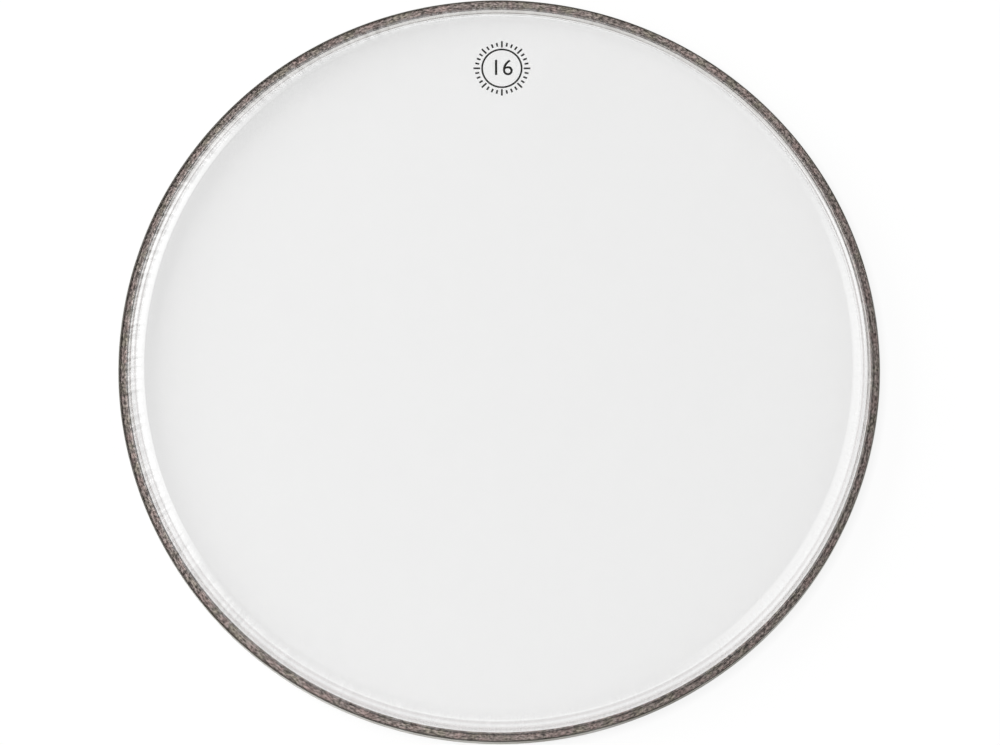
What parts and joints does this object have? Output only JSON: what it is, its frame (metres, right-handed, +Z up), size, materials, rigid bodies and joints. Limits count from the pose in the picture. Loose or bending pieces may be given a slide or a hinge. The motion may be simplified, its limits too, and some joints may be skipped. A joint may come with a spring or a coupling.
{
  "type": "drum head",
  "caption": "Round clear drum head: nested plastic films with a stepped collar, locked by cast resin in an aluminium channel hoop that drops over a drum shell.",
  "frame": {"origin": "on the hoop's axis, at the hoop's underside", "axes": "+Z up along the hoop's axis, out of the playing face; +X to the right and +Y away from the viewer in the picture"},
  "size_m": [0.4192, 0.4192, 0.0197],
  "materials": {
    "hoop_aluminium": "rolled channel, mill finish",
    "lock_resin": "cast grey-brown resin, grainy",
    "clear_film": "clear polyester film, glossy",
    "print_ink": "screen-printed black ink on the batter film"
  },
  "bodies": {
    "root": {"flesh_hoop": "hoop_aluminium", "resin_lock": "lock_resin", "batter_ply": "clear_film", "under_ply": "clear_film"}
  },
  "joints": []
}
